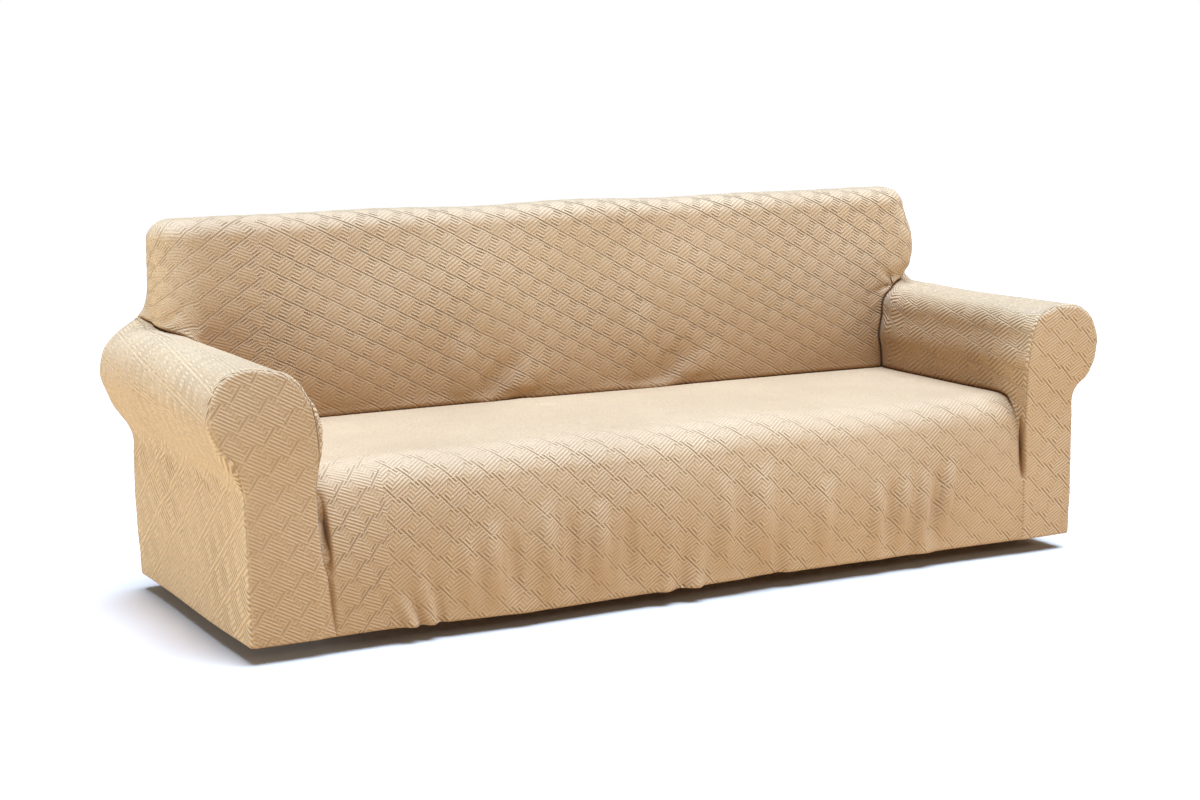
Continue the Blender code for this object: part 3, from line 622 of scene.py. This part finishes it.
# ---------------------------------------------------------------- meshes
class Panel:
    """A sheet of cloth as it is put together: outer face, inner face and the edge between them."""

    def __init__(self, name, look, weave, strength, column=0, turns=(), fine=False, painted_shade=None):
        """Strength gives each point's relief, and the painted shade function its painted shade; fine puts
        ribs in the mesh.

        Weave is the first one, and turns are places in a column of the cloth where another starts.
        """
        self.name, self.look, self.strength, self.fine = name, LOOKS[look], strength, fine
        self.first_weave, self.column, self.turns, self.painted_shade = weave, column, turns, painted_shade
        self.points, self.cloth, self.finish, self.faces, self.weaves = [], [], [], [], []
        self.count = 0

    def weave_of(self, cloth):
        found = np.full(len(cloth), index_of(self.first_weave))
        for value, weave in self.turns:
            found[cloth[:, self.column] >= value] = index_of(weave)
        return found

    def add_points(self, points, cloth, finish):
        first = self.count
        self.points.append(points)
        self.cloth.append(cloth)
        self.finish.append(finish)
        self.count += len(points)
        return first

    def add_face_pair(self, base, cloth, edges, dense_faces, lining, lining_faces, walls):
        """The outer face on base, the lining under the points that it names, and the walls.

        Edges gives for each open side the distance from it, and how deep and wide the cloth is drawn in.
        """
        normals = form_normal(base)
        drawn = np.zeros(len(base))
        folds = small_folds(base)
        # the grooves' depth, and the painted shade in them
        sink, painted_groove_shade = beside_arms(base)
        calm = 1.0 - painted_groove_shade
        # painted shade: in the grooves beside the arms, and where the panel's painted shade function puts it
        shade = painted_groove_shade if self.painted_shade is None else np.maximum(painted_groove_shade, self.painted_shade(base))
        for distance, (depth, width) in edges:
            near = np.clip(1.0 - distance / width, 0.0, 1.0) ** 2
            calm = np.minimum(calm, 1.0 - near)
            if depth == CREASE[0]:       # the tuck ends where the seam leaves the sofa's inner corner
                tucked = ramp(base[:, 1], *TUCK_FADE) * ramp(DEPTH - base[:, 1], *TUCK_FADE)
                depth = SEAM[0] + (depth - SEAM[0]) * tucked
                # painted shade beside a tucked crease
                shade = np.maximum(shade, tucked * np.exp(-(distance / SHADE_REACH) ** 2))
                folds = folds * (1.0 - tucked * (1.0 - ramp(distance, *FOLDS_FROM)))
            drawn = np.maximum(drawn, depth * near)
        for value, _ in self.turns:
            calm = np.minimum(calm, ramp(np.abs(cloth[:, self.column] - value), 0.0, BORDER_CALM))
        folded = base + (folds - drawn)[:, None] * normals + sink[:, None] * (0.0, 1.0, 0.0)
        power = self.strength(base) * (1.0 - painted_groove_shade)
        place = np.zeros_like(cloth)
        weave = self.weave_of(cloth)
        for index, name in enumerate(WEAVE):
            here = weave == index
            place[here] = lattice(name, cloth[here])
        rise = power * raised(place, self.look)
        if self.fine:
            rise += power * FINE_RISE * ribs(place, self.look)
        rise *= calm
        # each point's relief strength and painted shade
        finish = np.column_stack([power, shade])
        first = self.add_points(folded + rise[:, None] * normals, cloth, finish)
        self.add_points(folded[lining] - SHEET * normals[lining], cloth[lining], finish[lining])
        both = np.vstack([cloth, cloth[lining]])
        self.add_faces_at(dense_faces, both, first)
        self.add_faces_at(np.asarray(lining_faces)[:, ::-1] + len(cloth), both, first)
        triangles = []
        for outer, inner in walls:
            inner = np.asarray(inner) + len(cloth)
            for part in range(len(inner) - 1):
                strip = outer[part * LINING:(part + 1) * LINING + 1]
                middle = LINING // 2
                for k in range(LINING):
                    triangles.append((strip[k + 1], strip[k], inner[part] if k < middle else inner[part + 1]))
                triangles.append((strip[middle], inner[part], inner[part + 1]))
        if triangles:
            self.add_faces_at(triangles, both, first)

    def add_faces_at(self, faces, cloth, first):
        faces = np.asarray(faces)
        self.weaves.append(self.weave_of(cloth[faces].mean(axis=1)))
        self.faces.append(faces + first)

    def add_grid(self, grid, cloth, open_sides):
        """A grid of points with its open sides, those that are an edge of the sheet, and their seams."""
        rows, columns = grid.shape[:2]
        down = lengths_along(grid)
        along = lengths_across(grid)
        to_side = {"low": down, "high": down[-1:] - down, "left": along, "right": along[:, -1:] - along}
        edges = [(to_side[side].ravel(), seam) for side, seam in open_sides.items()]
        index = np.arange(rows * columns).reshape(rows, columns)
        lining = index[::LINING, ::LINING]
        under = np.arange(lining.size).reshape(lining.shape)
        sides = {"low": (index[0], under[0]), "high": (index[-1], under[-1]),
                 "left": (index[:, 0], under[:, 0]), "right": (index[:, -1], under[:, -1])}
        self.add_face_pair(grid.reshape(-1, 3), cloth.reshape(-1, 2), edges, grid_faces(rows, columns),
                           lining.ravel(), grid_faces(*lining.shape), [sides[side] for side in open_sides])

    def add_fill(self, loop, spacing, sign):
        """A nearly flat upright panel inside a loop of seam lines."""
        base, faces = flat_fill(loop, spacing)
        cloth = base[:, [0, 2]] * (sign, 1.0)
        corners = [tuple(point) for point in loop[:, [0, 2]]]
        rim = np.maximum(-outline_distance(base[:, 0], base[:, 2], corners), 0.0)
        coarse_base, coarse_faces = flat_fill(loop[::LINING], LINING * spacing)
        # The lining's inner points are its own, so they go in as part of the base.
        ring = len(loop) // LINING
        extra = coarse_base[ring:]
        whole = np.vstack([base, extra])
        lining = np.concatenate([np.arange(0, len(loop), LINING), len(base) + np.arange(len(extra))])
        whole_cloth = np.vstack([cloth, extra[:, [0, 2]] * (sign, 1.0)])
        whole_rim = np.concatenate([rim, np.full(len(extra), 1.0)])
        chain = np.append(np.arange(len(loop)), 0)
        under = np.append(np.arange(ring), 0)
        self.add_face_pair(whole, whole_cloth, [(whole_rim, SEAM)], faces, lining, coarse_faces,
                           [(chain, under)])

    def build(self):
        """The closed mesh.  Its UV maps hold the place in the pattern, and the relief's strength with the
        painted shade.
        """
        points = np.vstack(self.points) - MOUNT
        cloth, finish = np.vstack(self.cloth), np.vstack(self.finish)
        corners = np.concatenate([faces.ravel() for faces in self.faces])
        sizes = np.concatenate([np.full(len(faces), faces.shape[1]) for faces in self.faces])
        weaves = np.repeat(np.concatenate(self.weaves), sizes)
        mesh = bpy.data.meshes.new(self.name)
        mesh.vertices.add(len(points))
        mesh.vertices.foreach_set("co", points.ravel())
        mesh.loops.add(len(corners))
        mesh.loops.foreach_set("vertex_index", corners.astype(np.int32))
        mesh.polygons.add(len(sizes))
        mesh.polygons.foreach_set("loop_start", np.concatenate([[0], np.cumsum(sizes)[:-1]]).astype(np.int32))
        mesh.update(calc_edges=True)
        place = np.zeros((len(corners), 2))
        for index, name in enumerate(WEAVE):
            here = weaves == index
            place[here] = lattice(name, cloth[corners[here]])
        mesh.uv_layers.new(name="weave").data.foreach_set("uv", place.ravel())
        mesh.uv_layers.new(name="finish").data.foreach_set("uv", finish[corners].ravel())
        welded = bmesh.new()
        welded.from_mesh(mesh)
        bmesh.ops.remove_doubles(welded, verts=welded.verts, dist=WELD)
        loose = [vertex for vertex in welded.verts if not vertex.link_faces]
        bmesh.ops.delete(welded, geom=loose, context="VERTS")
        bmesh.ops.recalc_face_normals(welded, faces=welded.faces)
        welded.to_mesh(mesh)
        welded.free()
        mesh.shade_smooth()
        panel = bpy.data.objects.new(self.name, mesh)
        bpy.context.scene.collection.objects.link(panel)
        return panel


def grid_faces(rows, columns):
    corner = np.arange(rows - 1)[:, None] * columns + np.arange(columns - 1)[None, :]
    return np.stack([corner, corner + 1, corner + columns + 1, corner + columns], axis=-1).reshape(-1, 4)


def flat_fill(loop, spacing):
    """Points and triangles inside a loop of a nearly flat upright panel; the loop's points come first."""
    low, high = loop[:, [0, 2]].min(axis=0), loop[:, [0, 2]].max(axis=0)
    corners = [tuple(point) for point in loop[:, [0, 2]]]
    x, z = np.meshgrid(np.arange(low[0] + spacing / 2, high[0], spacing),
                       np.arange(low[1] + spacing / 2, high[1], spacing))
    x, z = x.ravel(), z.ravel()
    keep = outline_distance(x, z, corners) < -RIM_CLEARANCE * spacing
    inner = list(zip(x[keep], z[keep]))
    edges = [(k, (k + 1) % len(loop)) for k in range(len(loop))]
    flat, _, faces, _, _, _ = delaunay_2d_cdt([Vector(c) for c in corners + inner], edges, [], 1, 1e-6)
    points = np.array([(v[0], np.mean(loop[:, 1]), v[1]) for v in flat])
    points[:len(loop)] = loop
    points[len(loop):] = onto_form(points[len(loop):])
    return points, np.array(faces)


# ---------------------------------------------------------------- the seven panels
def make_seat_front(left, right):
    left_side = joined(left["groove"], left["seat_side"])
    right_side = joined(right["groove"], right["seat_side"])
    hem = across(left_side[0], right_side[0], STEPS["across"])
    hem[:, 2] -= HEM_SAG * bump(hem[:, 0] - HEM_SAG_PLACE, HEM_SAG_HALF)
    crease = across(left_side[-1], right_side[-1], STEPS["across"])
    grid = patch(hem, crease, left_side, right_side)
    cloth = np.stack([grid[..., 0], grid[:1, :, 2] + lengths_along(grid)], axis=-1)

    def strength(points):       # it fades out over the edge of the deck
        return 1.0 - 0.78 * ramp(points[:, 1], 0.02, 0.16)

    # painted shade over the drop, more towards its left end, none on the deck
    def painted_shade(points):      # the drop has it all over, the deck not at all
        whole, to_left = DROP_PAINTED_SHADE
        return (whole + to_left * ramp(-points[:, 0], 0.0, 0.8)) * ramp(-points[:, 2], -0.38, -0.26)

    panel = Panel("seat_front_cloth", "drop", "drop_end", strength, turns=[(MIRROR_DROP, "drop")],
                  painted_shade=painted_shade)
    panel.add_grid(grid, cloth, {"low": SEAM, "high": CREASE, "left": CREASE, "right": CREASE})
    return panel.build()


def make_inside_back(left, right):
    crease = across(left["seat_side"][-1], right["seat_side"][-1], STEPS["across"])
    waist = across(left["over"][0], right["over"][0], STEPS["across"])
    top = across(left["over"][-1], right["over"][-1], STEPS["across"])
    lower = patch(crease, waist, left["inner_rear"][::-1], right["inner_rear"][::-1])
    upper = patch(waist, top, left["over"], right["over"])
    lower_up = SEAT_HEIGHT + lengths_along(lower)
    upper_up = lower_up[-1:] + lengths_along(upper)

    def strength(points):       # weaker at the foot, and round the left end
        at_left_end = ramp(-points[:, 0], 0.84, 1.02)
        return (0.55 + 0.45 * ramp(points[:, 2], 0.41, 0.50)) * (1.0 - 0.45 * at_left_end)

    panel = Panel("inside_back_cloth", "back", "back_end", strength, turns=[(MIRROR_BACK, "back")],
                  # painted shade, deeper down the hollow between the arms and the back
                  painted_shade=lambda points: BACK_PAINTED_SHADE * painted_hollow_shade(points))
    panel.add_grid(lower, np.stack([lower[..., 0], lower_up], axis=-1),
                   {"low": CREASE, "left": CREASE, "right": CREASE})
    panel.add_grid(upper, np.stack([upper[..., 0], upper_up], axis=-1), {"high": SEAM})
    for side, seams, edge in ((-1.0, left, 0), (1.0, right, -1)):
        end = patch(seams["shoulder_rear"][::-1], seams["corner_rear"][::-1], seams["over"],
                    seams["end_rear"])
        round_end = lengths_across(end)
        up = np.broadcast_to(upper_up[:, edge, None], round_end.shape)
        cloth = np.stack([end[:, :1, 0] + side * round_end, up], axis=-1)
        panel.add_grid(end, cloth, {"low": CREASE, "high": SEAM, "right": SEAM})
    return panel.build()


def make_arm(side, seams):
    front = joined(seams["outer_front"], seams["shoulder_front"], seams["inner_front"])
    rear = joined(seams["outer_rear"], seams["shoulder_rear"], seams["inner_rear"])
    grid = patch(front, rear, seams["side_hem"], seams["seat_side"])
    cloth = np.stack([-grid[..., 1], HEM_HEIGHT + lengths_across(grid)], axis=-1)

    def strength(points):       # stronger inside, low on the outer side and towards the front
        inward = ramp(-np.abs(points[:, 0]), -1.00, -0.955)
        low = ramp(-points[:, 2], -0.42, -0.36) * (1.0 - inward)
        front = ramp(-points[:, 1], -0.45, -0.10)
        return 0.72 + 0.20 * inward + 0.16 * low + 0.16 * front

    panel = Panel("arm_" + side + "_cloth", "arms", "outer_arm", strength,
                  column=1, turns=[(OUTER_TO, "roll"), (INNER_FROM, "inner_arm")],
                  # painted shade, deeper down the hollow on the arm's inner side
                  painted_shade=lambda points: ARM_PAINTED_SHADE * painted_hollow_shade(points))
    panel.add_grid(grid, cloth, {"low": SEAM, "high": CREASE, "left": SEAM, "right": CREASE})
    return panel.build()


def make_arm_front(side, seams):
    low = across(seams["groove"][0], seams["outer_front"][0], STEPS["front_hem"])
    loop = joined(low, seams["outer_front"], seams["shoulder_front"], seams["inner_front"],
                  seams["groove"][::-1])[:-1]
    panel = Panel("arm_front_" + side + "_cloth", FRONT_LOOK[side], "front_" + side,
                  lambda points: np.ones(len(points)), fine=True,
                  # painted shade, darker towards the bottom of the arm front
                  painted_shade=lambda points: FRONT_PAINTED_SHADE[side] * ramp(-points[:, 2], -0.50, -0.15))
    panel.add_fill(loop, FLAT_SPACING["arm_front"], 1.0)
    return panel.build()


def make_outside_back(left, right):
    hem = across(left["outer_rear"][0], right["outer_rear"][0], STEPS["rear_hem"])
    top = across(right["over"][-1], left["over"][-1], STEPS["across"])
    up = joined(right["outer_rear"], right["end_rear"], right["corner_rear"])
    down = joined(left["outer_rear"], left["end_rear"], left["corner_rear"])[::-1]
    loop = joined(hem, up, top, down)[:-1]
    panel = Panel("outside_back_cloth", "back", "back", lambda points: np.full(len(points), 0.9))
    panel.add_fill(loop, FLAT_SPACING["outside_back"], -1.0)
    return panel.build()


# ---------------------------------------------------------------- material
class Maths:
    """Writes sums of the weave as nodes. A term is a number or a node's output."""

    def __init__(self, tree):
        self.tree = tree

    def node(self, kind, **inputs):
        made = self.tree.nodes.new(kind)
        for name, value in inputs.items():
            self.put(made.inputs[name.replace("_", " ")], value)
        return made

    def put(self, socket, value):
        if isinstance(value, bpy.types.NodeSocket):
            self.tree.links.new(value, socket)
        else:
            socket.default_value = value

    def __call__(self, operation, *terms, clamp=False):
        made = self.tree.nodes.new("ShaderNodeMath")
        made.operation = operation
        made.use_clamp = clamp
        for socket, term in zip(made.inputs, terms):
            self.put(socket, term)
        return made.outputs[0]

    def step(self, value, start, end):
        """0 below start and 1 above end, or the other way where start is the larger."""
        low, high, below, above = (start, end, 0.0, 1.0) if start < end else (end, start, 1.0, 0.0)
        made = self.node("ShaderNodeMapRange", Value=value, From_Min=low, From_Max=high, To_Min=below,
                         To_Max=above)
        made.interpolation_type = "SMOOTHSTEP"
        return made.outputs["Result"]

    def colour(self, share, first, second):
        made = self.tree.nodes.new("ShaderNodeMix")
        made.data_type = "RGBA"
        self.put(made.inputs["Factor"], share)
        self.put(made.inputs[6], first)
        self.put(made.inputs[7], second)
        return made.outputs[2]


CLOTH_LIGHT = (0.860, 0.605, 0.350, 1.0)
CLOTH_DARK = (0.290, 0.150, 0.062, 1.0)
# painted shade colours: the first where little light gets in, the second at the bottom of creases and grooves
PAINTED_DEEP_SHADE = (0.370, 0.180, 0.060, 1.0)       # where little light gets in, half way to a crease
PAINTED_CREASE_SHADE = (0.060, 0.028, 0.010, 1.0)
SURFACE = {"Roughness": 0.62, "Specular IOR Level": 0.5, "Sheen Weight": 0.22, "Sheen Roughness": 0.40,
           "Sheen Tint": (1.0, 0.94, 0.86, 1.0)}
# the ribs' share of the lightness is painted shade: lighter on their crests, darker in their valleys
RIB_PAINTED_SHADE, CROSSING_TONE, CLOUD_TONE, GRAIN_TONE = 0.34, 0.035, 0.40, 0.75     # how each changes the lightness


def make_cloth_material(look_name):
    look = LOOKS[look_name]
    material = bpy.data.materials.new("jacquard_" + look_name)
    material.use_nodes = True
    tree = material.node_tree
    shader = tree.nodes["Principled BSDF"]
    for name, value in SURFACE.items():
        shader.inputs[name].default_value = value
    m = Maths(tree)
    plus, minus, times = (partial(m, operation) for operation in ("ADD", "SUBTRACT", "MULTIPLY"))

    weave = tree.nodes.new("ShaderNodeUVMap")
    weave.uv_map = "weave"
    finish = tree.nodes.new("ShaderNodeUVMap")
    finish.uv_map = "finish"
    where = tree.nodes.new("ShaderNodeTexCoord").outputs["Object"]
    spot = m.node("ShaderNodeSeparateXYZ", Vector=weave.outputs["UV"])
    p, q = spot.outputs["X"], spot.outputs["Y"]
    # the relief's strength, and the painted shade
    kind = m.node("ShaderNodeSeparateXYZ", Vector=finish.outputs["UV"])
    power, shade = kind.outputs["X"], kind.outputs["Y"]

    # The relief is a little uneven, 0.6 to 1.05 of its strength.
    patchy = m.node("ShaderNodeTexNoise", Vector=where, Scale=7.0, Detail=2.0).outputs["Fac"]
    patchy = plus(times(m.step(patchy, 0.35, 0.65), 0.45), 0.6)

    # Lines run between the rows of blocks, and start again a little to the side at each step.
    along_line = minus(m("FRACT", plus(p, 0.5 - look.strip / 2)), 0.5)
    row = plus(q, times(along_line, look.lean))
    off_line = m("ABSOLUTE", minus(m("FRACT", plus(row, 0.5)), 0.5))
    along_line = m("ABSOLUTE", along_line)
    line = times(m.step(off_line, look.line_half + LINE_EDGE, look.line_half - LINE_EDGE),
                 m.step(along_line, look.reach + REACH_EDGE, look.reach - REACH_EDGE))

    # Strips of short ribs cross each row, half a step on from row to row.
    slide = plus(p, times(m("FRACT", row), 0.5))
    off_strip = m("ABSOLUTE", minus(m("FRACT", plus(slide, 0.5 - look.strip / 2)), 0.5))
    strip = m.step(off_strip, look.strip / 2 + STRIP_EDGE, look.strip / 2 - STRIP_EDGE)
    ends = m.step(off_line, 0.32, 0.16)      # 1 at a strip's two ends, 0 half way between them
    strip_power = plus(times(ends, look.strip_ends - look.strip_middle), look.strip_middle)
    strip_power = times(strip, strip_power)

    block = minus(1.0, m("MAXIMUM", times(strip, 0.9), line))
    along_ribs = m("COSINE", times(p, math.tau * look.ribs))
    along_ribs = times(along_ribs, times(block, look.block_ribs))
    crossing = m("COSINE", times(row, math.tau * look.ribs))
    crossing = times(crossing, m("MAXIMUM", strip_power, times(line, look.line_ribs)))
    height = times(plus(along_ribs, crossing), times(patchy, times(power, -1.0)))

    grain = m.node("ShaderNodeTexNoise", Vector=where, Scale=look.grain_scale, Detail=3.0, Roughness=0.65)
    plain = minus(1.15, times(power, 0.8))      # the grain shows more where the relief is weak
    grain = times(minus(grain.outputs["Fac"], 0.5), times(look.grain, plain))
    relief = plus(times(height, RIB_BUMP), times(grain, GRAIN_BUMP))
    bump_node = m.node("ShaderNodeBump", Strength=1.0, Distance=1.0, Height=relief)
    tree.links.new(bump_node.outputs["Normal"], shader.inputs["Normal"])

    clouds = m.node("ShaderNodeTexNoise", Vector=where, Scale=3.5, Detail=6.0, Roughness=0.6).outputs["Fac"]
    crossings = times(m("MAXIMUM", strip_power, line), times(power, CROSSING_TONE))
    # painted shade of the ribs: lighter on their crests, darker in their valleys
    lightness = minus(plus(times(height, RIB_PAINTED_SHADE), look.tone), crossings)
    lightness = plus(lightness, times(minus(clouds, 0.5), CLOUD_TONE))
    lightness = plus(lightness, times(grain, GRAIN_TONE), clamp=True)
    # the lightness holds the cloth's own tone, made lighter or darker for each group as painted light and
    # shade
    cloth = m.colour(lightness, CLOTH_DARK, CLOTH_LIGHT)
    # painted shade: the cloth goes towards a deep shade colour, then towards a crease shade colour
    deep = m.colour(times(shade, 2.0, clamp=True), cloth, PAINTED_DEEP_SHADE)
    creased = m.colour(minus(times(shade, 2.0), 1.0, clamp=True), deep, PAINTED_CREASE_SHADE)
    tree.links.new(creased, shader.inputs["Base Color"])
    return material


# ---------------------------------------------------------------- floor, light and camera
FLOOR_REACH = 9.0
FLOOR_BOUNCE = (0.70, 0.48, 0.28, 1.0)      # what the floor sends back onto the cloth
FLOOR_COLOUR = (0.95, 0.85, 0.76, 1.0)      # and what the camera sees
WORLD_LIGHT = (0.175, 0.145, 0.105, 1.0)
WORLD_COLOUR = (1.0, 1.0, 1.0, 1.0)
KEY_ANGLE = math.radians(50)
LIGHTS = [  # kind, power, colour, width and height, place, where it comes from
    ("key", "SUN", 7.85, (0.535, 0.715, 1.0), None, (0.0, 0.0, 3.0), (0.12, -0.09, 1.0)),
    ("side", "AREA", 49.0, (0.78, 0.92, 1.0), (2.0, 0.5), (-4.0, -0.3, -0.5), (-1.0, 0.0, 0.0)),
    ("front", "AREA", 34.0, (1.0, 0.91, 0.76), (1.4, 0.8), (3.6, -4.4, 1.3), (0.6, -0.8, 0.3)),
    ("low", "AREA", 8.0, (1.0, 1.0, 1.0), (2.4, 0.3), (2.4, -3.8, -0.66), (0.5, -0.85, 0.0)),
]


def lit_and_seen(tree, socket, lit, seen):
    """Gives a socket of the stage one colour for the light and another for the camera."""
    mixed = tree.nodes.new("ShaderNodeMix")
    mixed.data_type = "RGBA"
    mixed.inputs[6].default_value = lit
    mixed.inputs[7].default_value = seen
    tree.links.new(tree.nodes.new("ShaderNodeLightPath").outputs["Is Camera Ray"], mixed.inputs["Factor"])
    tree.links.new(mixed.outputs[2], socket)


def make_floor():
    mesh = bpy.data.meshes.new("floor")
    corners = [(x, y, -MOUNT[2]) for x, y in ((-1, -1), (1, -1), (1, 1), (-1, 1))]
    mesh.from_pydata([(FLOOR_REACH * x, FLOOR_REACH * y, z) for x, y, z in corners], [], [(0, 1, 2, 3)])
    floor = bpy.data.objects.new("floor", mesh)
    bpy.context.scene.collection.objects.link(floor)
    material = bpy.data.materials.new("floor_paint")
    material.use_nodes = True
    shader = material.node_tree.nodes["Principled BSDF"]
    shader.inputs["Roughness"].default_value = 0.7
    lit_and_seen(material.node_tree, shader.inputs["Base Color"], FLOOR_BOUNCE, FLOOR_COLOUR)
    mesh.materials.append(material)


def make_light():
    """A white studio: an even world, a broad key light from above and three soft ones."""
    scene = bpy.context.scene
    world = bpy.data.worlds.new("studio")
    world.use_nodes = True
    background = world.node_tree.nodes["Background"]
    lit_and_seen(world.node_tree, background.inputs["Color"], WORLD_LIGHT, WORLD_COLOUR)
    for name, kind, power, colour, size, place, comes_from in LIGHTS:
        light = bpy.data.lights.new(name, kind)
        light.energy, light.color = power, colour
        if kind == "SUN":
            light.angle = KEY_ANGLE
        else:
            light.shape = "RECTANGLE"
            light.size, light.size_y = size
        lamp = bpy.data.objects.new(name, light)
        lamp.location = place
        lamp.rotation_euler = Vector(comes_from).to_track_quat("Z", "Y").to_euler()
        scene.collection.objects.link(lamp)
    scene.world = world
    scene.view_settings.view_transform = "Standard"


def make_camera():
    """The photograph's viewing angle, fitted to the corners of the cover."""
    camera = bpy.data.objects.new("camera", bpy.data.cameras.new("camera"))
    camera.location = (-2.6114, -4.87921, 0.41538)
    camera.rotation_euler = (math.pi / 2 - 0.16531, 0.0, -0.51104)
    camera.data.sensor_width = 36.0
    camera.data.lens = 65.3466
    bpy.context.scene.collection.objects.link(camera)
    bpy.context.scene.camera = camera


# ---------------------------------------------------------------- putting it together
def dress(panel, node, material):
    panel.data.materials.append(material)
    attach(panel, "root")
    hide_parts(node)


# Areas in square metres, measured along the sheets.
cloths = {name: make_cloth_material(name) for name in LOOKS}
seams = {side: seams_of(side) for side in ("left", "right")}
dress(make_seat_front(seams["left"], seams["right"]), "seat_front", cloths["drop"])
dress(make_inside_back(seams["left"], seams["right"]), "inside_back", cloths["back"])
dress(make_outside_back(seams["left"], seams["right"]), "outside_back", cloths["back"])
for side, area in (("left", 0.098), ("right", 0.093)):
    dress(make_arm(side, seams[side]), "arm_" + side, cloths["arms"])
    arm_front = make_arm_front(side, seams[side])
    dress(arm_front, "arm_front_" + side, cloths[FRONT_LOOK[side]])
make_floor()
make_light()
make_camera()
